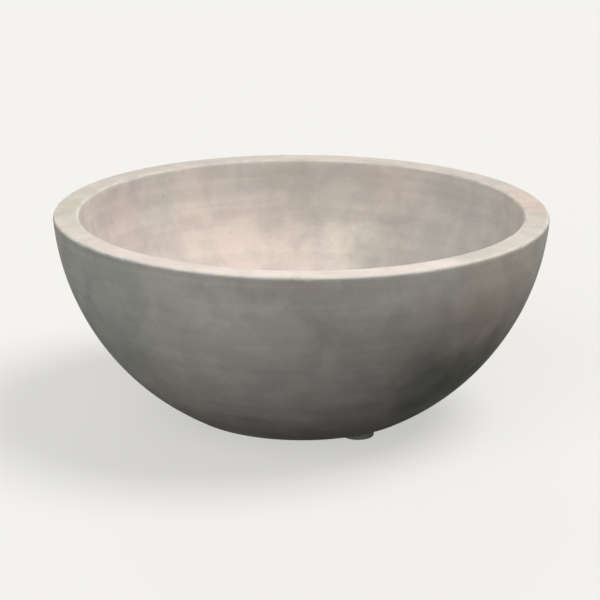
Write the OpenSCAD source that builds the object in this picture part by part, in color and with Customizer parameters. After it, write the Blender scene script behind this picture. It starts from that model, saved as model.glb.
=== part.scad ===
// Concrete bowl planter: a cast bowl on three rubber feet, with a cast-in drain
// coupling, a strainer, a lift-out stopper and a welded wire cage inside the wall.
// Millimetres. The origin is on the bowl's axis, on the ground under the feet, +Z up.

/* [Bowl] */
// Outside diameter of the bowl at its rim
bowl_d = 610; // [590:5:680]
// Height of the concrete bowl without its feet
shell_h = 249; // [235:1:255]
// Outside diameter of the flat base, before its edge is rounded
base_d = 294; // [260:2:300]
// Thickness of the wall, square to its surface
wall_t = 31.5; // [28:0.5:40]
// Thickness of the flat floor
floor_t = 38; // [36:1:46]

/* [Edges] */
// Rounding of the rim's outer edge
rim_outer_round = 4; // [2:0.5:8]
// Rounding of the rim's inner edge
rim_inner_round = 5; // [2:0.5:8]
// Rounding where the outer wall turns into the flat base
base_round = 6; // [3:0.5:12]
// Fillet where the inner wall turns into the floor
floor_fillet = 70; // [30:5:100]

/* [Feet] */
// Diameter of a foot pad
foot_d = 40; // [30:1:46]
// Height of a foot pad
foot_h = 8.5; // [5:0.5:12]
// Turn of the first pad about the axis, from +X
foot_turn = 304; // [0:1:359]

/* [Drain] */
// Wall radius of the pipe socket under the bowl
socket_r = 13.45; // [13:0.05:14]
// Depth of the pipe socket
socket_depth = 18; // [16:1:19]
// Radius of the throat above the socket
throat_r = 10.5; // [9:0.1:11]
// Radius of the coupling's barrel
barrel_r = 17; // [16:0.5:19]
// Radius of the coupling's flange, flush with the floor
flange_r = 28; // [25:1:34]

/* [Stopper] */
// Radius of the stopper's head
stopper_head_r = 20; // [15:1:22]
// Radius of the stopper's pull knob
knob_r = 8; // [6:0.5:10]

/* [Wire cage] */
// Diameter of the hoop wire
hoop_wire_d = 6; // [4:1:8]
// Diameter of the rib wire
rib_wire_d = 4; // [3:0.5:5]
// Number of rib wires
rib_count = 12; // [6:1:16]

/* [Hidden] */
$fn = 96;

concrete = "#a39c92";
galvanised = "#8d9296";
pvc = "#c9c8c2";
stainless = "#b9bcbe";
stopper_rubber = "#26262a";
pad_rubber = "#7b7d78";

// How far a cut runs past the face that it opens, and a joined shape into its neighbour
past = 1;

// Levels, all above the ground
base_z = foot_h;
rim_z = base_z + shell_h;
floor_z = base_z + floor_t;

// The outer and inner walls are arcs about one centre on the axis, placed above the
// rim so that the outer arc meets both the rim and the edge of the base
rim_r = bowl_d / 2;
base_r = base_d / 2;
arc_rise = (rim_r ^ 2 - base_r ^ 2 - shell_h ^ 2) / (2 * shell_h);
arc_z = rim_z + arc_rise;
arc_centre = [0, arc_z];
outer_arc_r = norm([rim_r, arc_rise]);
inner_arc_r = outer_arc_r - wall_t;

// Distance from the axis of the arc of radius r, at height z
function arc_reach(r, z) = sqrt(r ^ 2 - (arc_z - z) ^ 2);

// Unit vector from the arcs' centre to a point
function away(p) = (p - arc_centre) / norm(p - arc_centre);

// Centres of the profile's roundings
rim_outer_c = [
    arc_reach(outer_arc_r - rim_outer_round, rim_z - rim_outer_round), rim_z - rim_outer_round
];
rim_inner_c = [
    arc_reach(inner_arc_r + rim_inner_round, rim_z - rim_inner_round), rim_z - rim_inner_round
];
base_c = [arc_reach(outer_arc_r - base_round, base_z + base_round), base_z + base_round];
floor_c = [arc_reach(inner_arc_r - floor_fillet, floor_z + floor_fillet), floor_z + floor_fillet];

// Drain coupling
flange_t = 4;
key_ring_w = 4;
key_ring_r = barrel_r + key_ring_w;
key_ring_t = 4;
key_ring_lift = 14;
key_ring_z = base_z + key_ring_lift;
mouth_chamfer = 1.2;

// Drain strainer, held in a pocket at the top of the socket: holes on two rings
// round a middle one
strainer_t = 1.2;
strainer_z = base_z + socket_depth;
pocket_step = 0.85;
strainer_r = socket_r - pocket_step;
strainer_gap = 0.05;
strainer_hole_r = 1.3;
inner_ring_share = 0.4;
outer_ring_inset = 2.3;
strainer_rings = [[0, 1], [inner_ring_share * throat_r, 6], [throat_r - outer_ring_inset, 12]];

// Stopper
stopper_gap = 0.3;
stopper_seal_gap = 0.06;
stopper_foot_gap = 3.8;
stopper_stem_l = floor_t - socket_depth - strainer_t - stopper_foot_gap;
stopper_taper = 0.7;
stopper_lip_t = 1.6;
stopper_lip_drop = [4, 9];
stopper_head_t = 5;
stopper_head_round = 2;
knob_neck_r = 4.5;
knob_neck_h = 5;
knob_h = 7;
knob_round = 2.5;

// Feet, close inside the edge of the flat base
foot_count = 3;
foot_inset = 1.2;
foot_ring_r = base_c.x - foot_inset - foot_d / 2;
foot_round = 2;
dimple_r = 7;
dimple_depth = 2;

// Wire cage: hoops half way through the wall, ribs welded inside them
hoop_path_r = (outer_arc_r + inner_arc_r) / 2;
rim_hoop_depth = 16;
wall_hoop_h = 120;
base_hoop_h = 22;
rim_hoop_z = rim_z - rim_hoop_depth;
wall_hoop_z = base_z + wall_hoop_h;
base_hoop_z = base_z + base_hoop_h;
weld_bite = 0.3;
rib_path_r = hoop_path_r - (hoop_wire_d + rib_wire_d) / 2 + weld_bite;
rib_overrun = 2;

// Angle below the horizontal, seen from the arcs' centre, of a point at height z on an arc
function drop_angle(r, z) = asin((arc_z - z) / r);
rib_start = drop_angle(hoop_path_r, rim_hoop_z) - rib_overrun;
rib_end = drop_angle(hoop_path_r, base_hoop_z) + rib_overrun;

// ---- shapes that repeat ----

// What a rounding of radius r about c takes off a corner between the directions u and v
module corner_waste(c, r, u, v) {
    difference() {
        polygon([c, c + 2 * r * u, c + 2 * r * (u + v), c + 2 * r * v]);
        translate(c) circle(r);
    }
}

// A band of the profile from radius r0 to r1 and from height z0 to z1
module band(r0, r1, z0, z1) {
    translate([r0, z0]) square([r1 - r0, z1 - z0]);
}

// A ring of wire on the hoops' arc, at height z
module hoop(z) {
    translate([0, 0, z])
        rotate_extrude()
            translate([arc_reach(hoop_path_r, z), 0]) circle(d = hoop_wire_d);
}

// ---- bowl ----

module bowl_cavity_profile() {
    difference() {
        intersection() {
            translate(arc_centre) circle(inner_arc_r);
            band(0, rim_r, floor_z, rim_z + past);
        }
        corner_waste(floor_c, floor_fillet, [0, -1], away(floor_c));
    }
}

module bowl_profile() {
    difference() {
        intersection() {
            translate(arc_centre) circle(outer_arc_r);
            band(0, rim_r + past, base_z, rim_z);
        }
        bowl_cavity_profile();
        corner_waste(rim_outer_c, rim_outer_round, [0, 1], away(rim_outer_c));
        corner_waste(rim_inner_c, rim_inner_round, [0, 1], -away(rim_inner_c));
        corner_waste(base_c, base_round, [0, -1], away(base_c));
        coupling_outline();
    }
}

module bowl_shell() {
    color(concrete)
        difference() {
            rotate_extrude() bowl_profile();
            hoop(rim_hoop_z);
            hoop(wall_hoop_z);
            hoop(base_hoop_z);
            ribs();
        }
}

// ---- wire cage ----

module rim_hoop() {
    color(galvanised) hoop(rim_hoop_z);
}

module wall_hoop() {
    color(galvanised) hoop(wall_hoop_z);
}

module base_hoop() {
    color(galvanised) hoop(base_hoop_z);
}

module ribs() {
    for (i = [0 : rib_count - 1])
        translate([0, 0, arc_z])
            rotate([90, 0, foot_turn + (i + 0.5) * 360 / rib_count])
                rotate(-rib_end)
                    rotate_extrude(angle = rib_end - rib_start)
                        translate([rib_path_r, 0]) circle(d = rib_wire_d);
}

module rib_wires() {
    color(galvanised) ribs();
}

// ---- drain ----

module coupling_outline() {
    band(0, barrel_r, base_z, floor_z);
    band(0, flange_r, floor_z - flange_t, floor_z);
    band(0, key_ring_r, key_ring_z, key_ring_z + key_ring_t);
}

module coupling_bore() {
    band(0, socket_r, base_z - past, strainer_z);
    band(0, strainer_r, strainer_z - past, strainer_z + strainer_t);
    band(0, throat_r, strainer_z, floor_z + past);
    polygon([
        [0, base_z], [socket_r + mouth_chamfer, base_z],
        [socket_r, base_z + mouth_chamfer], [0, base_z + mouth_chamfer]
    ]);
}

module drain_coupling() {
    color(pvc)
        rotate_extrude()
            difference() {
                coupling_outline();
                coupling_bore();
            }
}

module drain_strainer() {
    color(stainless)
        translate([0, 0, strainer_z])
            difference() {
                cylinder(h = strainer_t, r = strainer_r - strainer_gap);
                for (ring = strainer_rings, i = [0 : ring[1] - 1])
                    rotate(foot_turn + i * 360 / ring[1])
                        translate([ring[0], 0, -past])
                            cylinder(h = strainer_t + 2 * past, r = strainer_hole_r, $fn = 24);
            }
}

module stopper_profile() {
    stem_r = throat_r - stopper_gap;
    head_top = floor_z + stopper_head_t;
    knob_z = head_top + knob_neck_h;
    // stem, narrower towards its foot
    polygon([
        [0, floor_z - stopper_stem_l], [stem_r - stopper_taper, floor_z - stopper_stem_l],
        [stem_r, floor_z], [0, floor_z]
    ]);
    // sealing lips
    for (drop = stopper_lip_drop)
        band(0, throat_r - stopper_seal_gap, floor_z - drop - stopper_lip_t, floor_z - drop);
    // head, resting on the flange
    difference() {
        band(0, stopper_head_r, floor_z, head_top);
        corner_waste(
            [stopper_head_r - stopper_head_round, head_top - stopper_head_round],
            stopper_head_round, [0, 1], [1, 0]
        );
    }
    // neck and knob
    band(0, knob_neck_r, head_top - past, knob_z + past);
    difference() {
        band(0, knob_r, knob_z, knob_z + knob_h);
        corner_waste([knob_r - knob_round, knob_z + knob_h - knob_round], knob_round, [0, 1], [1, 0]);
        corner_waste([knob_r - knob_round, knob_z + knob_round], knob_round, [0, -1], [1, 0]);
    }
}

module drain_stopper() {
    color(stopper_rubber) rotate_extrude() stopper_profile();
}

// ---- feet ----

module foot_profile() {
    foot_r = foot_d / 2;
    difference() {
        band(0, foot_r, 0, foot_h);
        corner_waste([foot_r - foot_round, foot_round], foot_round, [0, -1], [1, 0]);
        band(0, dimple_r, -past, dimple_depth);
    }
}

module foot_pad(number) {
    color(pad_rubber)
        rotate(foot_turn + (number - 1) * 360 / foot_count)
            translate([foot_ring_r, 0, 0])
                rotate_extrude() foot_profile();
}

bowl_shell();
rim_hoop();
wall_hoop();
base_hoop();
rib_wires();
drain_coupling();
drain_strainer();
drain_stopper();
foot_pad(1);  // foot_pad_1
foot_pad(2);  // foot_pad_2
foot_pad(3);  // foot_pad_3
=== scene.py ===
"""Looks of a concrete bowl planter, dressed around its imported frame.

The bowl is one cast shell with a drain in the middle of its floor, a wire cage
inside its wall and three rubber pads under its base. Lengths are in metres, in
the frame's own axes: the origin is on the bowl's axis on the ground, +Z is up.
"""

import logging
import math
import random
from dataclasses import dataclass
from enum import Enum
from functools import cache, cached_property

import bmesh
import bpy
from mathutils import Matrix, Vector, noise


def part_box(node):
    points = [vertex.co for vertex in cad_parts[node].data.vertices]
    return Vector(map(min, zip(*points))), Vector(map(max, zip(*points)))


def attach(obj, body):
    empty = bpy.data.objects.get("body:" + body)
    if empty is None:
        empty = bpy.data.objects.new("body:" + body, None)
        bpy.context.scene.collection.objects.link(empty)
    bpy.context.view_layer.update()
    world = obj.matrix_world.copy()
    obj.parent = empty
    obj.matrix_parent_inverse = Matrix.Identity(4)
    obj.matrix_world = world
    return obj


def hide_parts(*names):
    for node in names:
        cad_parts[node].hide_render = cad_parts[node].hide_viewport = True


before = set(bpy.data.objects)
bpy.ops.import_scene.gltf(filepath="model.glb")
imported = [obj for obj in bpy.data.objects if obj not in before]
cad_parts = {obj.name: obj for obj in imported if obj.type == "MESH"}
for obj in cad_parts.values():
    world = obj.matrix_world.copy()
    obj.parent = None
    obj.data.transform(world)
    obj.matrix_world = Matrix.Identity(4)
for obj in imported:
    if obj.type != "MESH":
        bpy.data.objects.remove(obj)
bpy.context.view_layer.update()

LOG = logging.getLogger("planter")
MM = 0.001
SEED = 24

Colour = tuple[float, float, float]
Point = tuple[float, float, float]
Socket = bpy.types.NodeSocket


# ---- mesh tools ----


class Outline:
    """Half the section of a turned piece, drawn as one chain of edges in the XZ plane."""

    def __init__(self, x: float, z: float) -> None:
        """Starts the chain.

        Args:
            x: Distance of the first point from the axis.
            z: Height of the first point.
        """
        self.mesh = bmesh.new()
        self.tip = self.mesh.verts.new((x, 0.0, z))

    def line(self, x: float, z: float, steps: int = 1) -> "Outline":
        """Draws a straight run from the tip.

        Args:
            x: Distance of the run's end from the axis.
            z: Height of the run's end.
            steps: Edges in the run.

        Returns:
            The outline itself, so that calls can follow each other.
        """
        leap = (Vector((x, 0.0, z)) - self.tip.co) / steps
        for _ in range(steps):
            made = bmesh.ops.extrude_vert_indiv(self.mesh, verts=[self.tip])
            self.tip = made["verts"][0]
            bmesh.ops.translate(self.mesh, verts=[self.tip], vec=leap)
        return self

    def arc(self, x: float, z: float, degrees: float, steps: int) -> "Outline":
        """Draws an arc from the tip about a centre.

        Args:
            x: Distance of the arc's centre from the axis.
            z: Height of the arc's centre.
            degrees: Turn, positive from +X towards +Z.
            steps: Edges in the arc.

        Returns:
            The outline itself.
        """
        made = bmesh.ops.spin(
            self.mesh, geom=[self.tip], cent=(x, 0.0, z), axis=(0.0, -1.0, 0.0),
            angle=math.radians(degrees), steps=steps,
        )
        self.tip = next(g for g in made["geom_last"] if isinstance(g, bmesh.types.BMVert))
        return self

    def through(self, *points: tuple[float, float]) -> "Outline":
        """Draws a straight run to each point in turn.

        Args:
            *points: Distance from the axis and height of each run's end.

        Returns:
            The outline itself.
        """
        for x, z in points:
            self.line(x, z)
        return self

    def turn(self, segments: int) -> bmesh.types.BMesh:
        """Turns the chain once round the Z axis into a closed skin, facing outwards.

        Args:
            segments: Faces round the axis.

        Returns:
            The turned mesh.
        """
        bmesh.ops.spin(
            self.mesh, geom=self.mesh.verts[:] + self.mesh.edges[:], cent=(0.0, 0.0, 0.0),
            axis=(0.0, 0.0, 1.0), angle=math.tau, steps=segments, use_merge=True,
        )
        bmesh.ops.remove_doubles(self.mesh, verts=self.mesh.verts, dist=0.002 * MM)
        self.mesh = in_fixed_order(self.mesh)
        bmesh.ops.recalc_face_normals(self.mesh, faces=self.mesh.faces)
        return self.mesh


def new_object(name: str, data: bpy.types.ID) -> bpy.types.Object:
    """Adds an object to the scene, at the origin.

    Args:
        name: The object's name.
        data: Its mesh, lamp or camera.

    Returns:
        The object.
    """
    made = bpy.data.objects.new(name, data)
    bpy.context.scene.collection.objects.link(made)
    return made


def finish_piece(mesh: bmesh.types.BMesh, name: str, body: str,
                 material: bpy.types.Material, nodes: tuple[str, ...]) -> bpy.types.Object:
    """Makes a scene piece of a mesh, shades it smoothly and sets it on its body.

    Args:
        mesh: The piece's mesh, in the frame's axes; it is freed.
        name: The piece's name.
        body: The body that it rides on.
        material: Its finish.
        nodes: The solids that it stands for.

    Returns:
        The new object.
    """
    for face in mesh.faces:
        face.smooth = True
    data = bpy.data.meshes.new(name)
    mesh.to_mesh(data)
    mesh.free()
    data.materials.append(material)
    piece = new_object(name, data)
    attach(piece, body)
    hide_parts(*nodes)
    LOG.info("%s: %d faces on %s", name, len(data.polygons), body)
    return piece


def sharpen(mesh: bmesh.types.BMesh, degrees: float) -> None:
    """Marks the edges that turn by more than an angle, so that shading breaks there.

    Args:
        mesh: The mesh.
        degrees: The least turn of a sharp edge.
    """
    for edge in mesh.edges:
        edge.smooth = edge.calc_face_angle(0.0) < math.radians(degrees)


def ease(value: float) -> float:
    """Clamps a value to 0..1 and eases both its ends."""
    held = min(1.0, max(0.0, value))
    return held * held * (3.0 - 2.0 * held)


def in_fixed_order(mesh: bmesh.types.BMesh) -> bmesh.types.BMesh:
    """Copies a mesh so that its edges and faces are in the same order on every run.

    Merging doubles leaves them in a chance order, and the pits and nicks depend on it.

    Args:
        mesh: The mesh, whose vertices are already in a fixed order; it is freed.

    Returns:
        The copy, of the same shape.
    """
    mesh.verts.index_update()
    loops = []
    for face in mesh.faces:
        loop = [vert.index for vert in face.verts]
        start = loop.index(min(loop))
        loops.append(loop[start:] + loop[:start])
    fresh = bmesh.new()
    verts = [fresh.verts.new(vert.co) for vert in mesh.verts]
    for loop in sorted(loops):
        fresh.faces.new([verts[index] for index in loop])
    mesh.free()
    return fresh


# ---- shader tools ----


class Graph:
    """Short calls for the nodes of one material or node group."""

    SHAKE_SCALE = 16.0
    SHAKE_WIDTH = 0.16

    def __init__(self, tree: bpy.types.NodeTree) -> None:
        """Takes the tree to draw in."""
        self.tree = tree

    def fill(self, made: bpy.types.Node, inputs: dict[str | int, object]) -> bpy.types.Node:
        """Sets a node's inputs.

        Args:
            made: The node.
            inputs: Values, or sockets to join, by input name or number.

        Returns:
            The node.
        """
        for key, value in inputs.items():
            if isinstance(value, Socket):
                self.tree.links.new(value, made.inputs[key])
            else:
                made.inputs[key].default_value = value
        return made

    def node(self, kind: str, inputs: dict[str | int, object] | None = None,
             **settings: object) -> bpy.types.Node:
        """Adds a node.

        Args:
            kind: The node's type, without its ShaderNode prefix.
            inputs: Values or sockets by input name or number.
            **settings: The node's own properties.

        Returns:
            The new node.
        """
        made = self.tree.nodes.new("ShaderNode" + kind)
        for name, value in settings.items():
            setattr(made, name, value)
        return self.fill(made, inputs or {})

    def math(self, operation: str, first: object, second: object) -> Socket:
        """Adds a Math node and returns its result."""
        return self.node("Math", {0: first, 1: second}, operation=operation).outputs[0]

    def times(self, first: object, second: object) -> Socket:
        """Multiplies two values and returns the result."""
        return self.math("MULTIPLY", first, second)

    def along(self, vector: Socket, axis: str) -> Socket:
        """Returns a vector's coordinate along one axis."""
        return self.node("SeparateXYZ", {"Vector": vector}).outputs[axis]

    def ramp(self, value: object, low: object, high: object, to_low: float = 0.0,
             to_high: float = 1.0) -> Socket:
        """Maps a value smoothly from low..high to to_low..to_high, held at both ends."""
        inputs = {"Value": value, "From Min": low, "From Max": high, "To Min": to_low, "To Max": to_high}
        return self.node("MapRange", inputs, interpolation_type="SMOOTHSTEP").outputs["Result"]

    def mix(self, share: object, first: Socket | Colour, second: Socket | Colour,
            blend: str = "MIX") -> Socket:
        """Mixes two colours.

        Args:
            share: Share of the second colour, 0 to 1.
            first: The first colour.
            second: The second colour.
            blend: The way of mixing.

        Returns:
            The mixed colour.
        """
        inputs = {0: share}
        for slot, value in ((6, first), (7, second)):
            inputs[slot] = (*value, 1.0) if isinstance(value, tuple) else value
        made = self.node("Mix", inputs, data_type="RGBA", blend_type=blend, clamp_factor=True)
        return made.outputs[2]

    def shade(self, colour: Socket, value: Socket, low: float, high: float) -> Socket:
        """Darkens and lightens a colour by a value.

        Args:
            colour: The colour.
            value: The value, of which 0.25 to 0.75 counts.
            low: What the colour is multiplied with where the value is low.
            high: What it is multiplied with where the value is high.

        Returns:
            The shaded colour.
        """
        level = self.ramp(value, 0.25, 0.75, low, high)
        grey = self.node("CombineColor", {"Red": level, "Green": level, "Blue": level})
        return self.mix(1.0, colour, grey.outputs["Color"], "MULTIPLY")

    def noise(self, vector: Socket, scale: object, detail: float = 2.0, roughness: float = 0.5,
              distortion: float = 0.0) -> Socket:
        """Adds a noise texture and returns its value."""
        inputs = {"Vector": vector, "Scale": scale, "Detail": detail, "Roughness": roughness,
                  "Distortion": distortion}
        return self.node("TexNoise", inputs).outputs["Fac"]

    def placed(self, shift: Point = (0.0, 0.0, 0.0), stretch: Point = (1.0, 1.0, 1.0)) -> Socket:
        """Returns the piece's own coordinates, moved and stretched by a Mapping node."""
        own = self.node("TexCoord").outputs["Object"]
        return self.node("Mapping", {"Vector": own, "Location": shift, "Scale": stretch}).outputs["Vector"]

    @cached_property
    def place(self) -> Socket:
        """The piece's own coordinates, or in a shared effect those that it is given."""
        return self.placed()

    @cached_property
    def ragged(self) -> Socket:
        """The same coordinates, shaken so that a patch placed by them gets a ragged edge.

        Returns:
            The shaken coordinates.
        """
        shake = self.node("TexNoise", {"Vector": self.place, "Scale": self.SHAKE_SCALE, "Detail": 4.0})
        middle = {0: shake.outputs["Color"], 1: (0.5, 0.5, 0.5)}
        sway = self.node("VectorMath", middle, operation="SUBTRACT").outputs[0]
        sway = self.node("VectorMath", {0: sway, "Scale": self.SHAKE_WIDTH}, operation="SCALE").outputs[0]
        return self.node("VectorMath", {0: self.place, 1: sway}, operation="ADD").outputs[0]

    def effect(self, tree: bpy.types.NodeTree, place: Socket | None = None,
               **values: float) -> bpy.types.Node:
        """Places a shared effect.

        Args:
            tree: The effect's node group.
            place: The coordinates that it is given, or None for the piece's own.
            **values: Its values by input name.

        Returns:
            The effect's node.
        """
        made = self.tree.nodes.new("ShaderNodeGroup")
        made.node_tree = tree
        return self.fill(made, {"Vector": place or self.place, **values})

    def mask(self, tree: bpy.types.NodeTree, place: Socket | None = None, **values: float) -> Socket:
        """Places a shared effect and returns its mask."""
        return self.effect(tree, place, **values).outputs["Mask"]

    def grained(self, size: float, depth: float) -> Socket:
        """Returns the relief in metres of a surface with grain of a size and a depth."""
        return self.times(self.effect(grain(), Size=size).outputs["Height"], depth)

    def blend(self, share: object, first: bpy.types.Node, second: bpy.types.Node) -> bpy.types.Node:
        """Mixes what two shader nodes show."""
        return self.node("MixShader", {0: share, 1: first.outputs[0], 2: second.outputs[0]})

    def surface(self, colour: Socket, roughness: Socket, height: Socket, metallic: float = 0.0,
                specular: float = 0.5) -> None:
        """Joins a finish to the material's output.

        Args:
            colour: Its colour.
            roughness: Its roughness.
            height: Its relief in metres.
            metallic: 1 for bare metal.
            specular: Strength of what it mirrors, 0.5 for most materials.
        """
        bump = self.node("Bump", {"Height": height, "Strength": 1.0, "Distance": 1.0})
        shader = self.node(
            "BsdfPrincipled",
            {"Base Color": colour, "Roughness": roughness, "Metallic": metallic,
             "Specular IOR Level": specular, "Normal": bump.outputs["Normal"]},
        )
        self.node("OutputMaterial", {"Surface": shader.outputs["BSDF"]})


class EffectGraph(Graph):
    """Short calls for a shared effect, a node group that is given coordinates and values."""

    def __init__(self, name: str, outputs: tuple[str, ...], **inputs: float) -> None:
        """Starts the group.

        Args:
            name: The group's name.
            outputs: Names of the values that it gives.
            **inputs: Names and defaults of the values that it takes besides coordinates.
        """
        super().__init__(bpy.data.node_groups.new(name, "ShaderNodeTree"))
        interface = self.tree.interface
        interface.new_socket(name="Vector", in_out="INPUT", socket_type="NodeSocketVector")
        for socket, default in inputs.items():
            made = interface.new_socket(name=socket, in_out="INPUT", socket_type="NodeSocketFloat")
            made.default_value = default
        for socket in outputs:
            interface.new_socket(name=socket, in_out="OUTPUT", socket_type="NodeSocketFloat")
        self.given = self.tree.nodes.new("NodeGroupInput").outputs
        self.result = self.tree.nodes.new("NodeGroupOutput")
        self.place = self.given["Vector"]

    def give(self, **values: Socket) -> bpy.types.NodeTree:
        """Joins the group's outputs to their values and returns the group."""
        self.fill(self.result, values)
        return self.tree


@cache
def clouds() -> bpy.types.NodeTree:
    """Builds the effect of soft, ragged patches that drift through a surface.

    Returns:
        The node group, which gives a Mask.
    """
    graph = EffectGraph("clouds", ("Mask",), Size=0.1, Contrast=1.0)
    scale = graph.math("DIVIDE", 1.0, graph.given["Size"])
    value = graph.noise(graph.place, scale, detail=6.0, roughness=0.55, distortion=0.35)
    half = graph.math("DIVIDE", 0.32, graph.given["Contrast"])
    return graph.give(
        Mask=graph.ramp(value, graph.math("SUBTRACT", 0.5, half), graph.math("ADD", 0.5, half)))


@cache
def grain() -> bpy.types.NodeTree:
    """Builds the effect of fine grain and of its darkest specks.

    Returns:
        The node group, which gives a Height from 0 to 1 and a mask of the Specks.
    """
    graph = EffectGraph("grain", ("Height", "Specks"), Size=1.0 * MM)
    scale = graph.math("DIVIDE", 1.0, graph.given["Size"])
    height = graph.noise(graph.place, scale, detail=3.0, roughness=0.6)
    coarse = graph.noise(graph.place, graph.times(scale, 0.43), detail=2.0)
    return graph.give(Height=height, Specks=graph.ramp(coarse, 0.62, 0.72))


@cache
def pores() -> bpy.types.NodeTree:
    """Builds the effect of scattered round pores of mixed width.

    Returns:
        The node group, which gives a Mask.
    """
    graph = EffectGraph("pores", ("Mask",), Spacing=10.0 * MM, Radius=0.15, Share=0.5)
    scale = graph.math("DIVIDE", 1.0, graph.given["Spacing"])
    cells = graph.node("TexVoronoi", {"Vector": graph.place, "Scale": scale})
    chance = graph.node("SeparateColor", {"Color": cells.outputs["Color"]})
    width = graph.ramp(chance.outputs["Green"], 0.0, 1.0, 0.35, 1.0)
    width = graph.times(graph.given["Radius"], width)
    hole = graph.ramp(cells.outputs["Distance"], width, graph.times(width, 0.55))
    there = graph.math("LESS_THAN", chance.outputs["Red"], graph.given["Share"])
    return graph.give(Mask=graph.times(hole, there))


@cache
def dust() -> bpy.types.NodeTree:
    """Builds the effect of pale dust that settles on faces that look up.

    Returns:
        The node group, which gives a Mask.
    """
    graph = EffectGraph("dust", ("Mask",), Amount=0.5)
    level = graph.ramp(graph.along(graph.node("NewGeometry").outputs["Normal"], "Z"), 0.1, 1.0)
    drifts = graph.ramp(graph.noise(graph.place, 60.0, detail=3.0), 0.3, 0.7, 0.45, 1.0)
    motes = graph.ramp(graph.noise(graph.place, 1400.0, detail=2.0), 0.35, 0.65, 0.35, 1.0)
    motes = graph.times(motes, graph.given["Amount"])
    return graph.give(Mask=graph.times(graph.times(level, drifts), motes))


# ---- finishes ----


def new_material(name: str) -> tuple[bpy.types.Material, Graph]:
    """Starts a material with an empty graph.

    Args:
        name: The material's name.

    Returns:
        The material and its graph.
    """
    material = bpy.data.materials.new(name)
    material.use_nodes = True
    material.node_tree.nodes.clear()
    return material, Graph(material.node_tree)


class Skin(str, Enum):
    """The masks that the shell's mesh carries for its finish."""

    INNER = "inner"
    BASE = "base"
    ARRIS = "arris"


@dataclass(frozen=True)
class StainAndPaintedLight:
    """A soft patch of another tone on the concrete, round one place; most patches are stains, some are
    painted shade and one is a painted highlight.
    """

    place: Point
    reach: float
    tone: Colour
    strength: float

    def over(self, graph: Graph, colour: Socket) -> Socket:
        """Lays the patch over a colour.

        Args:
            graph: The material's graph.
            colour: The colour under the patch.

        Returns:
            The colour with the patch laid over it.
        """
        away = graph.node("VectorMath", {0: graph.ragged, 1: self.place}, operation="DISTANCE")
        share = graph.ramp(away.outputs["Value"], self.reach, 0.15 * self.reach, 0.0, self.strength)
        return graph.mix(share, colour, self.tone)


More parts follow.
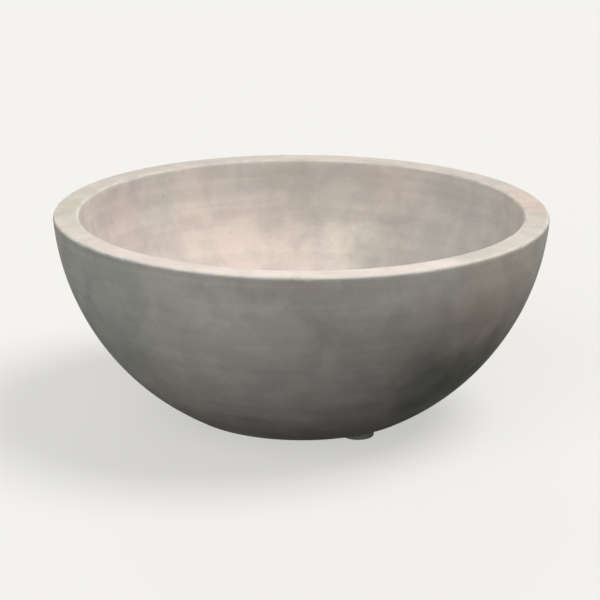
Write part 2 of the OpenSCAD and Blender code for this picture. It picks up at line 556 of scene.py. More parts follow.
@dataclass(frozen=True)
class CastConcrete:
    """Smooth cast concrete: greyer outside, warmer and paler inside and on the rim."""

    rim_z: float
    base_z: float
    floor_z: float
    outer_warm: Colour = (0.71, 0.665, 0.60)
    outer_cool: Colour = (0.65, 0.635, 0.58)
    inner_warm: Colour = (0.71, 0.63, 0.57)
    inner_grey: Colour = (0.61, 0.57, 0.53)
    rim_dull: Colour = (0.56, 0.505, 0.45)
    # Paler rim tone for the front: painted light on the front of the rim.
    rim_lit_front: Colour = (0.73, 0.64, 0.58)
    # Pale tone of the arrises, partly wear and partly a painted highlight along the edges.
    worn_and_highlight: Colour = (0.80, 0.745, 0.68)
    base_raw: Colour = (0.42, 0.40, 0.36)
    # Darker tone of the lower outside, partly damp and partly painted shade, and of the painted shade under
    # the rim.
    damp_and_shade: Colour = (0.40, 0.385, 0.345)
    silt: Colour = (0.47, 0.40, 0.325)
    speck_dark: Colour = (0.30, 0.28, 0.25)
    speck_pale: Colour = (0.86, 0.83, 0.77)
    sand_size: float = 0.9 * MM
    grit_size: float = 0.6 * MM
    worn_and_highlight_share: float = 0.45
    dark_specks: float = 0.26
    pale_specks: float = 0.24
    hole_share: float = 0.55
    # Painted shade, partly damp: how high and how strongly the outside darkens towards the ground.
    damp_and_shade_height: float = 75.0 * MM
    damp_and_shade_share: float = 0.62
    # Painted shade: strength of the dark band under the rim.
    under_rim_shade_share: float = 0.30
    water_depth: float = 11.0 * MM
    # Patches on the outside; three of them are painted shade, marked below.
    outer_stains_and_shade: tuple[StainAndPaintedLight, ...] = (
        StainAndPaintedLight((-0.240, -0.175, 0.205), 0.150, (0.57, 0.605, 0.55), 0.75),
        # Painted shade: a darker patch low on the left front, where the wall turns away from the light.
        StainAndPaintedLight((-0.225, -0.160, 0.115), 0.110, (0.48, 0.495, 0.45), 0.65),
        StainAndPaintedLight((-0.085, -0.275, 0.170), 0.110, (0.80, 0.765, 0.71), 0.70),
        StainAndPaintedLight((0.040, -0.280, 0.150), 0.120, (0.78, 0.745, 0.69), 0.65),
        StainAndPaintedLight((0.130, -0.268, 0.215), 0.130, (0.80, 0.74, 0.675), 0.65),
        StainAndPaintedLight((0.232, -0.195, 0.205), 0.135, (0.79, 0.69, 0.575), 0.75),
        # Painted shade: a darker, warmer patch just under the front of the rim.
        StainAndPaintedLight((0.000, -0.304, 0.240), 0.080, (0.575, 0.525, 0.455), 0.60),
        # Painted shade: a very dark patch low on the right front, where the wall turns away from the light.
        StainAndPaintedLight((0.180, -0.158, 0.072), 0.135, (0.225, 0.24, 0.20), 0.92),
        StainAndPaintedLight((0.120, 0.260, 0.190), 0.130, (0.74, 0.70, 0.63), 0.50),
        StainAndPaintedLight((-0.180, 0.200, 0.110), 0.120, (0.53, 0.51, 0.46), 0.55),
    )
    inner_stains: tuple[StainAndPaintedLight, ...] = (
        StainAndPaintedLight((-0.075, 0.227, 0.140), 0.120, (0.82, 0.69, 0.63), 0.75),
        StainAndPaintedLight((-0.150, 0.200, 0.165), 0.080, (0.80, 0.68, 0.62), 0.60),
        StainAndPaintedLight((-0.235, 0.120, 0.200), 0.090, (0.64, 0.545, 0.515), 0.70),
        StainAndPaintedLight((0.054, 0.236, 0.145), 0.055, (0.86, 0.79, 0.71), 0.75),
        StainAndPaintedLight((0.215, 0.150, 0.190), 0.155, (0.57, 0.56, 0.535), 0.85),
        StainAndPaintedLight((-0.010, 0.262, 0.215), 0.070, (0.55, 0.505, 0.46), 0.60),
        StainAndPaintedLight((0.105, 0.225, 0.165), 0.060, (0.53, 0.50, 0.46), 0.60),
        StainAndPaintedLight((0.030, 0.215, 0.112), 0.065, (0.835, 0.73, 0.67), 0.80),
        StainAndPaintedLight((0.050, -0.210, 0.120), 0.140, (0.66, 0.61, 0.555), 0.50),
    )
    # Patches on the rim; the second one is a painted highlight.
    rim_stains_and_highlight: tuple[StainAndPaintedLight, ...] = (
        StainAndPaintedLight((-0.285, 0.030, 0.257), 0.130, (0.50, 0.475, 0.395), 0.75),
        # Painted highlight: a warm, paler patch at the right end of the rim, where the edge catches light.
        StainAndPaintedLight((0.284, 0.040, 0.257), 0.110, (0.67, 0.53, 0.45), 0.60),
        StainAndPaintedLight((0.215, -0.195, 0.257), 0.090, (0.58, 0.53, 0.475), 0.70),
    )

    def material(self) -> bpy.types.Material:
        """Builds the concrete.

        Returns:
            The material, which reads the shell's Skin masks.
        """
        material, graph = new_material("cast_concrete")
        masks = {skin: graph.node("Attribute", attribute_name=skin.value).outputs["Fac"]
                 for skin in Skin}
        wear_and_highlight = self.wear_and_highlight(graph, masks[Skin.ARRIS])
        sand = graph.effect(grain(), Size=self.sand_size)
        grit = graph.effect(grain(), graph.placed(shift=(0.3, 0.2, 0.1)), Size=self.grit_size)
        holes = graph.math("MAXIMUM", graph.mask(pores(), Spacing=8.0 * MM, Radius=0.11, Share=0.35),
                           graph.mask(pores(), Spacing=3.1 * MM, Radius=0.12, Share=0.22))
        # Paler arrises: partly wear, partly a painted highlight along the rim's edges.
        colour = graph.mix(graph.times(wear_and_highlight, self.worn_and_highlight_share), self.tone(graph, masks), self.worn_and_highlight)
        colour = graph.shade(colour, sand.outputs["Height"], 0.92, 1.07)
        for mask, share, speck in ((sand.outputs["Specks"], self.dark_specks, self.speck_dark),
                                   (grit.outputs["Specks"], self.pale_specks, self.speck_pale),
                                   (holes, self.hole_share, self.speck_dark)):
            colour = graph.mix(graph.times(mask, share), colour, speck)
        rough = graph.ramp(graph.noise(graph.place, 25.0, detail=4.0), 0.3, 0.7, 0.76, 0.92)
        raw = graph.math("MAXIMUM", masks[Skin.BASE], graph.times(wear_and_highlight, 0.35))
        height = self.relief(graph, sand.outputs["Height"], holes, raw)
        graph.surface(colour, rough, height, specular=0.25)
        return material

    def wear_and_highlight(self, graph: Graph, arris: Socket) -> Socket:
        """Returns a broken mask of the arrises that handling has rubbed pale; it also paints a highlight
        along the edges.
        """
        patches = graph.noise(graph.place, 26.0, detail=6.0, roughness=0.62)
        return graph.ramp(graph.math("ADD", arris, graph.ramp(patches, 0.38, 0.62, -0.45, 0.30)), 0.25, 0.95)

    def tone(self, graph: Graph, masks: dict[Skin, Socket]) -> Socket:
        """Builds the colour before its specks.

        Args:
            graph: The material's graph.
            masks: The shell's masks.

        Returns:
            The colour.
        """
        patches = graph.mask(clouds(), Size=0.17, Contrast=0.8)
        outer = graph.mix(patches, self.outer_cool, self.outer_warm)
        for patch in self.outer_stains_and_shade:
            outer = patch.over(graph, outer)
        patches = graph.mask(clouds(), graph.placed(shift=(0.4, 0.1, 0.7)), Size=0.12, Contrast=1.0)
        inner = graph.mix(patches, self.inner_grey, self.inner_warm)
        for patch in self.inner_stains:
            inner = patch.over(graph, inner)
        rim = self.rim_tone(graph)
        for patch in self.rim_stains_and_highlight:
            rim = patch.over(graph, rim)
        colour = graph.mix(graph.ramp(masks[Skin.INNER], 0.3, 0.9), self.darken_low_and_under_rim(graph, outer),
                           self.tide(graph, inner))
        colour = graph.mix(self.rim_share(graph, masks[Skin.INNER]), colour, rim)
        return self.mottle(graph, graph.mix(masks[Skin.BASE], colour, self.base_raw))

    def darken_low_and_under_rim(self, graph: Graph, colour: Socket) -> Socket:
        """Darkens the outside towards the ground, partly damp and partly painted shade, and in a band just
        under the rim, which is painted shade.

        Args:
            graph: The material's graph.
            colour: The colour of the outside.

        Returns:
            The weathered colour.
        """
        dark_top = self.base_z + self.damp_and_shade_height
        # Painted shade, partly damp: darker towards the ground.
        darker_low = graph.ramp(graph.along(graph.ragged, "Z"), dark_top, self.base_z, 0.0, self.damp_and_shade_share)
        height = graph.along(graph.place, "Z")
        # Painted shade: a dark band from the rim's rounded outer edge down to about 12 mm below the top.
        below = graph.ramp(height, self.rim_z - 12.0 * MM, self.rim_z - 6.0 * MM)
        above = graph.ramp(height, self.rim_z - 0.5 * MM, self.rim_z - 4.0 * MM, 0.0, self.under_rim_shade_share)
        return graph.mix(graph.times(below, above), graph.mix(darker_low, colour, self.damp_and_shade), self.damp_and_shade)

    def tide(self, graph: Graph, colour: Socket) -> Socket:
        """Leaves the silt of standing water on the floor, with a tide line and a ring at the drain.

        Args:
            graph: The material's graph.
            colour: The colour of the inside.

        Returns:
            The silted colour.
        """
        water = self.floor_z + self.water_depth
        height = graph.along(graph.mix(0.07, graph.place, graph.ragged), "Z")
        wet = graph.ramp(height, water, water - 3.0 * MM, 0.0, 0.16)
        line = graph.times(graph.ramp(height, water + 1.5 * MM, water, 0.0, 0.30),
                           graph.ramp(height, water - 4.0 * MM, water))
        flat = graph.placed(stretch=(1.0, 1.0, 0.0))
        away = graph.node("VectorMath", {0: flat}, operation="LENGTH").outputs["Value"]
        ring = graph.ramp(away, 75.0 * MM, 26.0 * MM, 0.0, 0.14)
        broken = graph.ramp(graph.noise(graph.ragged, 30.0, detail=5.0), 0.32, 0.62, 0.25, 1.0)
        share = graph.math("ADD", graph.math("MAXIMUM", wet, line), ring)
        return graph.mix(graph.times(share, broken), colour, self.silt)

    def rim_share(self, graph: Graph, inner: Socket) -> Socket:
        """Returns a mask that is 1 on the flat of the rim and 0 on both walls."""
        return graph.times(graph.ramp(inner, 0.06, 0.14), graph.ramp(inner, 0.98, 0.88))

    def rim_tone(self, graph: Graph) -> Socket:
        """Returns the rim's colour, paler along the front as painted light on the front of the rim."""
        # Painted light: the rim grows paler towards the front.
        front = graph.ramp(graph.along(graph.ragged, "Y"), 0.02, -0.27)
        return graph.mix(front, self.rim_dull, self.rim_lit_front)

    def mottle(self, graph: Graph, colour: Socket) -> Socket:
        """Breaks a colour up with small clouds and the faint level bands of the casting.

        Args:
            graph: The material's graph.
            colour: The colour.

        Returns:
            The mottled colour.
        """
        bands = graph.noise(graph.placed(stretch=(2.0, 2.0, 55.0)), 1.0, detail=3.0, roughness=0.6)
        colour = graph.shade(colour, graph.mask(clouds(), Size=0.035, Contrast=0.9), 0.94, 1.05)
        return graph.shade(colour, bands, 0.93, 1.06)

    def relief(self, graph: Graph, sand: Socket, holes: Socket, raw: Socket) -> Socket:
        """Builds the fine relief.

        Args:
            graph: The material's graph.
            sand: Height of the sand grain, 0 to 1.
            holes: Mask of the pores.
            raw: Mask of the rough base and, weaker, of the rubbed arrises.

        Returns:
            The height in metres.
        """
        fine = graph.times(sand, 0.22 * MM)
        waves = graph.times(graph.noise(graph.place, 90.0, detail=4.0), 0.3 * MM)
        rough = graph.times(graph.noise(graph.place, 210.0, detail=5.0, roughness=0.65), 1.2 * MM)
        height = graph.math("ADD", graph.math("ADD", fine, waves), graph.times(rough, raw))
        return graph.math("SUBTRACT", height, graph.times(holes, 0.4 * MM))


@dataclass(frozen=True)
class MouldedRubber:
    """Matte rubber, black unless told otherwise, with a faint bloom and settled dust."""

    name: str
    body: Colour = (0.024, 0.024, 0.026)
    faded: Colour = (0.040, 0.039, 0.038)
    powder: Colour = (0.34, 0.31, 0.27)
    dust_amount: float = 0.3

    def material(self) -> bpy.types.Material:
        """Builds the rubber.

        Returns:
            The material.
        """
        material, graph = new_material(self.name)
        patches = graph.mask(clouds(), Size=0.02, Contrast=0.8)
        colour = graph.mix(patches, self.body, self.faded)
        colour = graph.mix(graph.mask(dust(), Amount=self.dust_amount), colour, self.powder)
        roughness = graph.ramp(patches, 0.0, 1.0, 0.55, 0.78)
        graph.surface(colour, roughness, graph.grained(0.35 * MM, 0.06 * MM))
        return material


@dataclass(frozen=True)
class PipePlastic:
    """Pale grey moulded pipe plastic, stained by the water that runs over it."""

    body: Colour = (0.55, 0.545, 0.52)
    stained: Colour = (0.33, 0.29, 0.23)
    powder: Colour = (0.50, 0.45, 0.39)

    def material(self) -> bpy.types.Material:
        """Builds the plastic.

        Returns:
            The material.
        """
        material, graph = new_material("pipe_plastic")
        patches = graph.mask(clouds(), Size=0.02, Contrast=1.3)
        colour = graph.mix(graph.times(patches, 0.35), self.body, self.stained)
        colour = graph.mix(graph.mask(dust(), Amount=0.6), colour, self.powder)
        roughness = graph.ramp(patches, 0.0, 1.0, 0.38, 0.6)
        graph.surface(colour, roughness, graph.grained(0.5 * MM, 0.03 * MM))
        return material


@dataclass(frozen=True)
class SheetSteel:
    """Steel with a dull or a bright finish and clouds of oxide."""

    name: str
    bright: Colour
    dull: Colour
    roughness_low: float
    roughness_high: float
    patch_size: float

    def material(self) -> bpy.types.Material:
        """Builds the steel.

        Returns:
            The material.
        """
        material, graph = new_material(self.name)
        patches = graph.mask(clouds(), Size=self.patch_size, Contrast=1.5)
        roughness = graph.ramp(patches, 0.0, 1.0, self.roughness_low, self.roughness_high)
        graph.surface(graph.mix(patches, self.bright, self.dull), roughness,
                      graph.grained(0.25 * MM, 0.02 * MM), metallic=1.0)
        return material


# ---- sub-assemblies ----


@dataclass
class Bowl:
    """The cast shell: two walls on arcs about one centre, a flat rim, base and floor."""

    rim_radius: float = 305.0 * MM
    base_radius: float = 147.0 * MM
    wall: float = 31.5 * MM
    floor: float = 38.0 * MM
    rim_outer_round: float = 4.0 * MM
    rim_inner_round: float = 5.0 * MM
    base_round: float = 6.0 * MM
    floor_fillet: float = 70.0 * MM
    mesh_step: float = 4.7 * MM
    segments: int = 400
    pits: int = 190
    pits_apart: float = 14.0 * MM
    pit_radii_mm: tuple[float, ...] = (0.45, 0.5, 0.55, 0.6, 0.7, 0.7, 0.9, 1.2)
    nicks: int = 11
    nicks_outside: float = 0.6
    nick_widths_mm: tuple[float, float] = (2.5, 5.5)
    nick_depths_mm: tuple[float, float] = (0.5, 1.3)
    worn_edge: float = 5.5 * MM

    def __post_init__(self) -> None:
        """Takes the levels from the frame and works out the arcs."""
        low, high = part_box("bowl_shell")
        self.base_z, self.rim_z = low.z, high.z
        self.floor_z = self.base_z + self.floor
        tall = self.rim_z - self.base_z
        rise = (self.rim_radius**2 - self.base_radius**2 - tall**2) / (2.0 * tall)
        self.arc_z = self.rim_z + rise
        self.outer_arc = math.hypot(self.rim_radius, rise)
        self.inner_arc = self.outer_arc - self.wall

    def seat(self, arc: float, z: float) -> Vector:
        """Returns the point of an arc about the shared centre at a height, as (x, z)."""
        return Vector((math.sqrt(arc**2 - (self.arc_z - z) ** 2), z))

    def bearing(self, point: Vector) -> float:
        """Returns the angle of a section point seen from the arcs' centre, in degrees."""
        return math.degrees(math.atan2(point.y - self.arc_z, point.x))

    def steps(self, length: float) -> int:
        """Returns how many mesh steps a length takes."""
        return max(1, round(length / self.mesh_step))

    def arc_steps(self, radius: float, degrees: float) -> int:
        """Returns how many mesh steps an arc takes."""
        return self.steps(radius * math.radians(abs(degrees)))

    def section(self, drain: "Drain") -> Outline:
        """Draws the shell's closed section, out over the rim and back through the floor.

        Args:
            drain: The drain, whose coupling the floor is cast around.

        Returns:
            The closed outline.
        """
        lip_out = self.seat(self.outer_arc - self.rim_outer_round, self.rim_z - self.rim_outer_round)
        lip_in = self.seat(self.inner_arc + self.rim_inner_round, self.rim_z - self.rim_inner_round)
        heel = self.seat(self.outer_arc - self.base_round, self.base_z + self.base_round)
        bend = self.seat(self.inner_arc - self.floor_fillet, self.floor_z + self.floor_fillet)
        out_turn, heel_turn = self.bearing(lip_out), self.bearing(heel)
        bend_turn, in_turn = self.bearing(bend), self.bearing(lip_in)
        outline = Outline(lip_in.x, self.rim_z)
        outline.line(lip_out.x, self.rim_z, self.steps(lip_out.x - lip_in.x))
        outline.arc(*lip_out, out_turn - 90.0, 4)
        outline.arc(0.0, self.arc_z, heel_turn - out_turn,
                    self.arc_steps(self.outer_arc, heel_turn - out_turn))
        outline.arc(*heel, -90.0 - heel_turn, 3)
        outline.line(drain.barrel_radius, self.base_z, self.steps((heel.x - drain.barrel_radius) / 2))
        drain.cast_around(outline, self.base_z, self.floor_z)
        outline.line(bend.x, self.floor_z, self.steps((bend.x - drain.flange_radius) / 2))
        outline.arc(*bend, 90.0 + bend_turn, self.arc_steps(self.floor_fillet, 90.0 + bend_turn))
        outline.arc(0.0, self.arc_z, in_turn - bend_turn,
                    self.arc_steps(self.inner_arc, in_turn - bend_turn))
        outline.arc(*lip_in, -90.0 - in_turn, 5)
        return outline

    def depth_in_wall(self, place: Vector) -> float:
        """Works out how far through the wall a point of the shell lies.

        Args:
            place: The point.

        Returns:
            0 on the outer face and the base, 1 on the inner face, and between them on the rim.
        """
        if place.z < self.base_z + 2.5 * MM:
            return 0.0
        reach = math.hypot(math.hypot(place.x, place.y), place.z - self.arc_z)
        return min(1.0, max(0.0, (self.outer_arc - reach) / self.wall))

    def waver(self, mesh: bmesh.types.BMesh, drain: "Drain") -> None:
        """Gives the surfaces the soft unevenness of a hand-finished casting.

        Args:
            mesh: The shell.
            drain: The drain, round which the floor stays true.
        """
        rim_depth, rim_fade, drain_fade = 0.3 * MM, 30.0 * MM, 25.0 * MM
        mesh.normal_update()
        moves = []
        for vert in mesh.verts:
            place = vert.co
            inner = ease(self.depth_in_wall(place))
            size = 0.10 - 0.035 * inner
            depth = (0.45 + 0.65 * inner) * MM
            below_rim = ease((self.rim_z - place.z) / rim_fade)
            depth = rim_depth + (depth - rim_depth) * below_rim
            clear = ease((math.hypot(place.x, place.y) - drain.flange_radius) / drain_fade)
            if place.z < self.base_z + 0.5 * MM:
                clear = 0.0
            wave = 0.5 + 0.5 * noise.fractal(place / size, 1.0, 2.1, 3)
            moves.append(vert.normal * (-depth * clear * min(1.0, max(0.4, wave))))
        for vert, move in zip(mesh.verts, moves):
            vert.co += move

    def nick_rim(self, mesh: bmesh.types.BMesh, rng: random.Random) -> None:
        """Knocks small nicks out of the rim's two edges.

        Args:
            mesh: The shell.
            rng: The source of chance.
        """
        inset = 1.0 * MM
        for _ in range(self.nicks):
            outside = rng.random() < self.nicks_outside
            radius = self.rim_radius - inset if outside else self.inner_arc + inset
            turn = rng.uniform(0.0, math.tau)
            spot = Vector((radius * math.cos(turn), radius * math.sin(turn), self.rim_z - inset))
            width = rng.uniform(*self.nick_widths_mm) * MM
            near = {v for v in mesh.verts if (v.co - spot).length < 2.2 * width}
            edges = [e for e in mesh.edges if near.issuperset(e.verts)]
            bmesh.ops.subdivide_edges(mesh, edges=edges, cuts=2, use_grid_fill=True)
            inward = Vector((-spot.x, -spot.y, 0.0)).normalized() * (1.0 if outside else -1.0)
            push = (inward + Vector((0.0, 0.0, -0.8))).normalized()
            push = push * rng.uniform(*self.nick_depths_mm) * MM
            for vert in mesh.verts:
                away = (vert.co - spot).length / (1.6 * width)
                if away < 1.0:
                    ragged = 0.75 + 0.5 * noise.noise(vert.co / (2.0 * MM))
                    vert.co += push * (ease(1.0 - away) * ragged)

    def pit(self, mesh: bmesh.types.BMesh, rng: random.Random) -> None:
        """Leaves small round air pits in both walls.

        Args:
            mesh: The shell.
            rng: The source of chance.
        """
        low, high = self.base_z + 12.0 * MM, self.rim_z - 9.0 * MM
        least_side = 3.2 * MM
        faces = [f for f in mesh.faces if len(f.verts) == 4 and f.calc_area() > least_side**2
                 and low < f.calc_center_median().z < high]
        taken: list[Vector] = []
        groups: dict[float, list[bmesh.types.BMFace]] = {}
        while len(taken) < self.pits:
            face = faces[rng.randrange(len(faces))]
            centre = face.calc_center_median()
            if all((centre - other).length > self.pits_apart for other in taken):
                taken.append(centre)
                radius = rng.choice(self.pit_radii_mm) * MM
                groups.setdefault(radius, []).append(face)
        for radius, chosen in sorted(groups.items()):
            bmesh.ops.inset_individual(mesh, faces=chosen, thickness=0.9 * MM)
            sides = {e for f in chosen for e in f.edges}
            bmesh.ops.bisect_edges(mesh, edges=[e for e in mesh.edges if e in sides], cuts=1)
            for face in chosen:
                centre = face.calc_center_median()
                for vert in face.verts:
                    vert.co = centre + (vert.co - centre).normalized() * radius
            for inwards, down in ((0.18, 0.7), (0.38, 0.4)):
                bmesh.ops.inset_individual(
                    mesh, faces=chosen, thickness=inwards * radius, depth=-down * radius)

    def mark(self, mesh: bmesh.types.BMesh) -> None:
        """Writes the Skin masks that the finish reads.

        Args:
            mesh: The shell.
        """
        layers = {skin: mesh.verts.layers.float.new(skin.value) for skin in Skin}
        arrises = ((self.rim_radius, self.rim_z), (self.inner_arc, self.rim_z),
                   (self.base_radius, self.base_z))
        for vert in mesh.verts:
            out = math.hypot(vert.co.x, vert.co.y)
            vert[layers[Skin.INNER]] = self.depth_in_wall(vert.co)
            on_base = vert.co.z < self.base_z + 0.8 * MM and out < self.base_radius
            vert[layers[Skin.BASE]] = 1.0 if on_base else 0.0
            near = min(math.hypot(out - x, vert.co.z - z) for x, z in arrises)
            vert[layers[Skin.ARRIS]] = ease(1.0 - near / self.worn_edge)

    def build(self, drain: "Drain") -> bpy.types.Object:
        """Builds and dresses the shell.

        Args:
            drain: The drain in its floor.

        Returns:
            The piece.
        """
        rng = random.Random(SEED)
        mesh = self.section(drain).turn(self.segments)
        self.waver(mesh, drain)
        self.pit(mesh, rng)
        self.nick_rim(mesh, rng)
        bmesh.ops.recalc_face_normals(mesh, faces=mesh.faces)
        self.mark(mesh)
        sharpen(mesh, 60.0)
        concrete = CastConcrete(self.rim_z, self.base_z, self.floor_z).material()
        return finish_piece(mesh, "cast_bowl", "planter", concrete, ("bowl_shell",))


@dataclass
class Drain:
    """The coupling cast into the floor, its strainer, and the stopper that closes it."""

    socket_radius: float = 13.45 * MM
    socket_depth: float = 18.0 * MM
    throat_radius: float = 10.5 * MM
    barrel_radius: float = 17.0 * MM
    flange_radius: float = 28.0 * MM
    flange_thick: float = 4.0 * MM
    key_radius: float = 21.0 * MM
    key_low: float = 14.0 * MM
    key_high: float = 18.0 * MM
    pocket_radius: float = 12.6 * MM
    pocket_depth: float = 1.2 * MM
    mouth_chamfer: float = 1.2 * MM
    head_radius: float = 20.0 * MM
    head_thick: float = 5.0 * MM
    knob_radius: float = 8.0 * MM
    knob_tall: float = 7.0 * MM
    neck_radius: float = 4.5 * MM
    stem_gap: float = 0.3 * MM
    lip_gap: float = 0.06 * MM
    lip_drops: tuple[float, ...] = (9.0 * MM, 4.0 * MM)
    head_round: float = 2.0 * MM
    head_dish: float = 0.6 * MM
    knob_round: float = 2.5 * MM
    flutes: int = 12
    flute_deep: float = 0.6 * MM
    segments: int = 96

    def keyed_face(self, base_z: float, top_z: float) -> list[tuple[float, float]]:
        """Lists the corners of the face where coupling and concrete meet, from the base up.

        Args:
            base_z: Height of the coupling's foot, which is the base.
            top_z: Height of its flange, which is the floor.

        Returns:
            Each corner's distance from the axis and height.
        """
        shelf = top_z - self.flange_thick
        return [(self.barrel_radius, base_z + self.key_low), (self.key_radius, base_z + self.key_low),
                (self.key_radius, base_z + self.key_high), (self.barrel_radius, base_z + self.key_high),
                (self.barrel_radius, shelf), (self.flange_radius, shelf)]

    def cast_around(self, outline: Outline, base_z: float, floor_z: float) -> None:
        """Draws the concrete's face against the coupling, from the base up to the floor.

        Args:
            outline: The shell's outline, at the barrel's foot.
            base_z: Height of the base.
            floor_z: Height of the floor.
        """
        chamfer = 0.5 * MM
        outline.through(*self.keyed_face(base_z, floor_z), (self.flange_radius, floor_z - chamfer),
                        (self.flange_radius + chamfer, floor_z))

    def coupling(self) -> bpy.types.Object:
        """Builds the coupling.

        Returns:
            The piece.
        """
        low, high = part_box("drain_coupling")
        base, top = low.z, high.z
        edge = 0.7 * MM
        groove = 24.0 * MM
        strainer = base + self.socket_depth
        pocket = strainer + self.pocket_depth
        outline = Outline(self.throat_radius, top - edge)
        outline.arc(self.throat_radius + edge, top - edge, -90.0, 3)
        outline.through((groove - edge, top), (groove, top - edge), (groove + edge, top),
                        (self.flange_radius - edge, top))
        outline.arc(self.flange_radius - edge, top - edge, -90.0, 3)
        outline.through(*reversed(self.keyed_face(base, top)), (self.barrel_radius, base + edge))
        outline.arc(self.barrel_radius - edge, base + edge, -90.0, 3)
        outline.through((self.socket_radius + self.mouth_chamfer, base),
                        (self.socket_radius, base + self.mouth_chamfer), (self.socket_radius, strainer),
                        (self.pocket_radius, strainer), (self.pocket_radius, pocket),
                        (self.throat_radius, pocket), (self.throat_radius, top - edge))
        mesh = outline.turn(self.segments)
        sharpen(mesh, 50.0)
        return finish_piece(mesh, "drain_flange", "planter", PipePlastic().material(),
                            ("drain_coupling",))

    def stopper(self) -> bpy.types.Object:
        """Builds the stopper, with its sealing lips and a fluted pull knob.

        Returns:
            The piece.
        """
        low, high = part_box("drain_stopper")
        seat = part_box("drain_coupling")[1].z
        head, neck, knob = self.head_radius, self.neck_radius, self.knob_radius
        head_top = seat + self.head_thick
        dish = head_top - self.head_dish
        knob_low = high.z - self.knob_tall
        stem = self.throat_radius - self.stem_gap
        foot = stem - 0.7 * MM
        lip = self.throat_radius - self.lip_gap
        soft = 1.0 * MM
        sweep = self.knob_round
        outline = Outline(0.0, low.z)
        outline.line(foot - soft, low.z).arc(foot - soft, low.z + soft, 90.0, 4)
        for drop in self.lip_drops:
            outline.through((foot, seat - drop - 1.6 * MM), (lip, seat - drop - 0.5 * MM),
                            (lip, seat - drop), (stem, seat - drop + 0.3 * MM))
        outline.through((stem, seat), (head - 0.5 * MM, seat), (head, seat + 0.5 * MM),
                        (head, head_top - self.head_round))
        outline.arc(head - self.head_round, head_top - self.head_round, 90.0, 6)
        outline.through((head - 4.0 * MM, head_top), (head - 5.0 * MM, dish), (neck + sweep, dish))
        outline.arc(neck + sweep, dish + sweep, -90.0, 5)
        outline.line(neck, knob_low - soft).arc(neck + soft, knob_low - soft, -90.0, 3)
        outline.line(knob - sweep, knob_low).arc(knob - sweep, knob_low + sweep, 90.0, 6)
        outline.line(knob, high.z - sweep).arc(knob - sweep, high.z - sweep, 90.0, 6)
        outline.through((3.0 * MM, high.z), (2.2 * MM, high.z - 0.5 * MM), (0.0, high.z - 0.7 * MM))
        mesh = outline.turn(self.segments)
        self.flute(mesh, knob_low)
        sharpen(mesh, 50.0)
        rubber = MouldedRubber("stopper_rubber").material()
        return finish_piece(mesh, "stopper", "stopper", rubber, ("drain_stopper",))

    def flute(self, mesh: bmesh.types.BMesh, knob_low: float) -> None:
        """Presses finger flutes into the knob's side.

        Args:
            mesh: The stopper.
            knob_low: Height of the knob's underside.
        """
        fade = 2.0 * MM
        for vert in mesh.verts:
            out = math.hypot(vert.co.x, vert.co.y)
            if vert.co.z > knob_low and out > self.knob_radius - fade:
                turn = math.atan2(vert.co.y, vert.co.x)
                share = ease((out - self.knob_radius + fade) / fade)
                dent = self.flute_deep * share * (0.5 - 0.5 * math.cos(self.flutes * turn))
                vert.co.x -= dent * math.cos(turn)
                vert.co.y -= dent * math.sin(turn)

    def build(self) -> None:
        """Builds the drain's pieces and dresses the strainer, whose solid is shown as it is."""
        self.coupling()
        self.stopper()
        stainless = SheetSteel("stainless_sheet", (0.62, 0.62, 0.60), (0.44, 0.42, 0.38), 0.25, 0.5, 0.006)
        dress_solids(("drain_strainer",), stainless.material())


@dataclass
class WireCage:
    """The hoops and ribs cast inside the wall, whose solids are shown as they are."""

    hoops: tuple[str, ...] = ("rim_hoop", "wall_hoop", "base_hoop")
    ribs: str = "rib_wires"

    def build(self) -> None:
        """Gives the wires their galvanised finish."""
        zinc = SheetSteel("galvanised_wire", (0.50, 0.51, 0.52), (0.34, 0.35, 0.36), 0.4, 0.65, 0.008)
        dress_solids((*self.hoops, self.ribs), zinc.material())


@dataclass
class Feet:
    """The rubber pads under the base."""

    nodes: tuple[str, ...] = ("foot_pad_1", "foot_pad_2", "foot_pad_3")
    edge: float = 2.0 * MM
    dimple_radius: float = 7.0 * MM
    dimple_depth: float = 2.0 * MM
    groove: float = 0.8 * MM
    groove_rings: tuple[float, ...] = (10.0 * MM, 13.0 * MM, 16.0 * MM)
    segments: int = 72

    def pad(self, node: str, material: bpy.types.Material) -> bpy.types.Object:
        """Builds one pad where its solid is.

        Args:
            node: The solid that it stands for.
            material: Its finish.

        Returns:
            The piece.
        """
        low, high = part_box(node)
        middle = (low + high) / 2.0
        radius = (high.x - low.x) / 2.0
        tall = high.z - low.z
        soft = 0.6 * MM
        half = self.groove / 2
        outline = Outline(0.0, self.dimple_depth)
        outline.through((self.dimple_radius - soft, self.dimple_depth),
                        (self.dimple_radius, self.dimple_depth - soft),
                        (self.dimple_radius, soft), (self.dimple_radius + soft, 0.0))
        for ring in self.groove_rings:
            outline.through((ring - self.groove, 0.0), (ring - half, half), (ring + half, half),
                            (ring + self.groove, 0.0))
        outline.line(radius - self.edge, 0.0).arc(radius - self.edge, self.edge, 90.0, 5)
        outline.through((radius, tall - soft), (radius - soft, tall), (0.0, tall))
        mesh = outline.turn(self.segments)
        bmesh.ops.translate(mesh, verts=mesh.verts, vec=(middle.x, middle.y, 0.0))
        sharpen(mesh, 40.0)
        return finish_piece(mesh, node.replace("foot_pad", "rubber_pad"), "planter",
                            material, (node,))

    def build(self) -> None:
        """Builds every pad."""
        grey = MouldedRubber("foot_rubber", (0.40, 0.405, 0.38), (0.46, 0.465, 0.44)).material()
        for node in self.nodes:
            self.pad(node, grey)


def dress_solids(nodes: tuple[str, ...], material: bpy.types.Material) -> None:
    """Gives solids that are shown as they are their finish.

    Args:
        nodes: The solids' names.
        material: The finish.
    """
    for name in nodes:
        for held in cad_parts[name].material_slots:
            held.material = material
        LOG.info("%s: dressed in %s", name, material.name)


# ---- studio ----


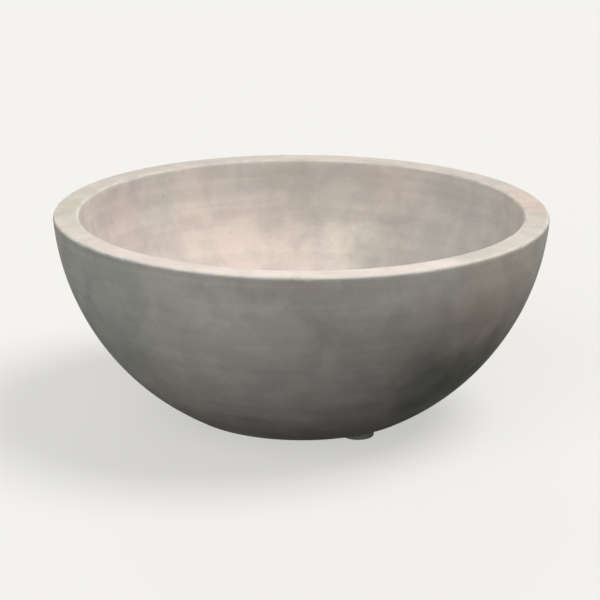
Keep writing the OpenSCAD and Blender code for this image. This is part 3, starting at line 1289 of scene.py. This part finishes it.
@dataclass(frozen=True)
class Lamp:
    """A distant soft lamp: its bearing from +Y towards +X, its height, share of light and width."""

    name: str
    bearing: float
    height: float
    share: float
    width: float

    def towards(self) -> Vector:
        """Returns the direction from the bowl to the lamp."""
        turn, rise = math.radians(self.bearing), math.radians(self.height)
        return Vector((math.sin(turn) * math.cos(rise), math.cos(turn) * math.cos(rise), math.sin(rise)))

    def hang(self) -> None:
        """Hangs the lamp in the scene."""
        data = bpy.data.lights.new(self.name, "SUN")
        data.energy = self.share * math.pi
        data.angle = math.radians(self.width)
        new_object(self.name, data).rotation_euler = self.towards().to_track_quat("Z", "Y").to_euler()


@dataclass
class Studio:
    """A pale floor, soft light and the photograph's point of view."""

    backdrop: Colour = (0.905, 0.896, 0.863)
    photo_side: int = 600
    rim_centre_px: tuple[float, float] = (301.09, 209.21)
    rim_radius_px: float = 247.25
    elevation: float = 14.27
    roll: float = 0.22
    rim_radii_away: float = 9.0
    sensor: float = 36.0
    lamps: tuple[Lamp, ...] = (
        Lamp("key", 88.0, 61.0, 0.80, 35.0),
        Lamp("fill", 215.0, 34.0, 0.38, 60.0),
        Lamp("back", 355.0, 18.0, 0.28, 50.0),
    )
    sky_share: float = 0.15
    floor_bounce: float = 0.035
    floor_shadow: float = 0.4
    floor_side: float = 40.0

    def build(self, bowl: Bowl) -> None:
        """Sets the studio up round the bowl.

        Args:
            bowl: The bowl that the camera looks at.
        """
        self.camera(bowl)
        self.sky()
        for lamp in self.lamps:
            lamp.hang()
        self.floor()
        bpy.context.scene.view_settings.view_transform = "Standard"

    def level(self) -> float:
        """Returns the light that falls on a level surface, where 1 shows a colour as written."""
        return self.sky_share + sum(lamp.share * lamp.towards().z for lamp in self.lamps)

    def camera(self, bowl: Bowl) -> None:
        """Places the camera so that the rim falls where the photograph shows it.

        Args:
            bowl: The bowl that it looks at.
        """
        rim = Vector((0.0, 0.0, bowl.rim_z))
        away = self.rim_radii_away * bowl.rim_radius
        tilt = math.radians(self.elevation)
        back = Vector((0.0, -math.cos(tilt), math.sin(tilt)))
        focal_px = self.rim_radius_px * self.rim_radii_away
        right_px = self.rim_centre_px[0] - self.photo_side / 2
        up_px = self.photo_side / 2 - self.rim_centre_px[1]
        aim = (-back).to_track_quat("-Z", "Y").to_matrix().to_4x4()
        pitch = Matrix.Rotation(-math.atan2(up_px, focal_px), 4, "X")
        yaw = Matrix.Rotation(math.atan2(right_px, focal_px), 4, "Y")
        roll = Matrix.Rotation(math.radians(self.roll), 4, "Z")
        data = bpy.data.cameras.new("view")
        data.sensor_width = self.sensor
        data.lens = self.sensor * focal_px / self.photo_side
        camera = new_object("view", data)
        camera.matrix_world = Matrix.Translation(rim + back * away) @ aim @ pitch @ yaw @ roll
        bpy.context.scene.camera = camera

    def seen(self, graph: Graph) -> Socket:
        """Tells the rays that show the backdrop from those that only bring its light.

        Args:
            graph: The graph of the floor or the world.

        Returns:
            A mask that is 1 for a ray that is seen, mirrored or comes through glass.
        """
        rays = graph.node("LightPath").outputs
        mirrored = graph.math("MAXIMUM", rays["Is Camera Ray"], rays["Is Glossy Ray"])
        return graph.math("MAXIMUM", mirrored, rays["Is Transmission Ray"])

    def sky(self) -> None:
        """Makes the world: a soft even light that shows as the backdrop's colour."""
        world = bpy.data.worlds.new("studio")
        world.use_nodes = True
        world.node_tree.nodes.clear()
        graph = Graph(world.node_tree)
        light = graph.node("Background", {"Color": (1.0, 1.0, 1.0, 1.0), "Strength": self.sky_share})
        wall = graph.node("Background", {"Color": (*self.backdrop, 1.0), "Strength": 1.0})
        both = graph.blend(self.seen(graph), light, wall)
        graph.node("OutputWorld", {"Surface": both.outputs[0]})
        bpy.context.scene.world = world

    def floor(self) -> None:
        """Lays a pale floor that keeps the bowl's shadow and hides nothing from below."""
        mesh = bmesh.new()
        bmesh.ops.create_grid(mesh, x_segments=1, y_segments=1, size=self.floor_side / 2)
        data = bpy.data.meshes.new("floor")
        mesh.to_mesh(data)
        mesh.free()
        material, graph = new_material("pale_floor")
        pale = [channel / self.level() for channel in self.backdrop]
        shadowed = graph.node("BsdfDiffuse", {"Color": (*pale, 1.0)})
        plain = graph.node("Emission", {"Color": (*self.backdrop, 1.0), "Strength": 1.0})
        shown = graph.blend(self.floor_shadow, plain, shadowed)
        bounce = graph.node("BsdfDiffuse", {"Color": (*[self.floor_bounce] * 3, 1.0)})
        front = graph.blend(self.seen(graph), bounce, shown)
        below = graph.node("NewGeometry").outputs["Backfacing"]
        both = graph.blend(below, front, graph.node("BsdfTransparent"))
        graph.node("OutputMaterial", {"Surface": both.outputs[0]})
        data.materials.append(material)
        floor = new_object("floor", data)


def main() -> None:
    """Builds the planter and its studio."""
    logging.basicConfig(level=logging.INFO, format="%(name)s: %(message)s")
    bowl, drain = Bowl(), Drain()
    bowl.build(drain)
    WireCage().build()
    drain.build()
    Feet().build()
    Studio().build(bowl)


if __name__ == "__main__":
    main()
